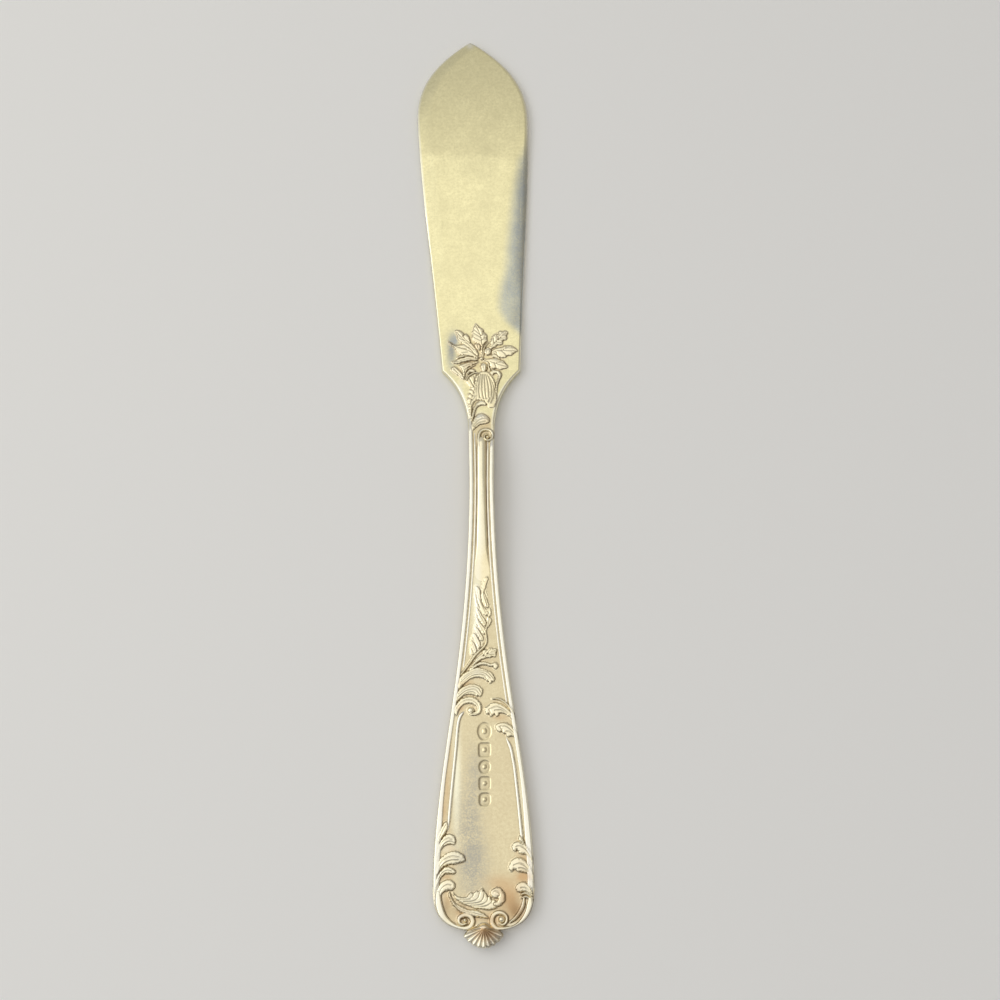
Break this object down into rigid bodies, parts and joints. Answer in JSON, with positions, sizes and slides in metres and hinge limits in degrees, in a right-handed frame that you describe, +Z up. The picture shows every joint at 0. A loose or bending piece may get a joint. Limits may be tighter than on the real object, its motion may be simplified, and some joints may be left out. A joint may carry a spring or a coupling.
{
  "type": "master butter knife",
  "caption": "Master butter knife with a blunt spear-shaped spreading blade, slim threaded stem and spatulate handle end with applied rococo leaves, scrolls and shell.",
  "frame": {"origin": "middle of the knife's bounding box, on the table that the knife lies on", "axes": "+Y along the knife towards the blade's tip, +X towards the blade's spine, +Z up through the ornamented face"},
  "size_m": [0.0226, 0.18, 0.0046],
  "materials": {
    "blade_silver": "worn silver plate on nickel silver, satin, with fine table scratches",
    "handle_silver": "worn silver plate on nickel silver, satin, browned in the hollows",
    "thread_silver": "silver plate polished bright along the raised threads",
    "relief_silver": "silver plate, bright on the raised ornament and dark with tarnish in its recesses"
  },
  "bodies": {
    "root": {"blade": "blade_silver", "handle": "handle_silver", "flower_spray": "relief_silver", "calyx": "relief_silver", "neck_frond": "relief_silver", "neck_leaf": "relief_silver", "neck_volute": "relief_silver", "stem_rib": "thread_silver", "rim_thread_left": "thread_silver", "rim_thread_right": "thread_silver", "inner_thread_left": "thread_silver", "inner_thread_right": "thread_silver", "laurel_branch": "relief_silver", "flame_leaves": "relief_silver", "upper_plume": "relief_silver", "lower_plume": "relief_silver", "panel_scroll": "relief_silver", "panel_acanthus": "relief_silver", "panel_border_left": "thread_silver", "panel_border_right": "thread_silver", "side_leaves_left": "relief_silver", "side_leaves_right": "relief_silver", "end_leaf": "relief_silver", "end_scroll_left": "relief_silver", "end_scroll_right": "relief_silver", "shell": "relief_silver"}
  },
  "joints": []
}
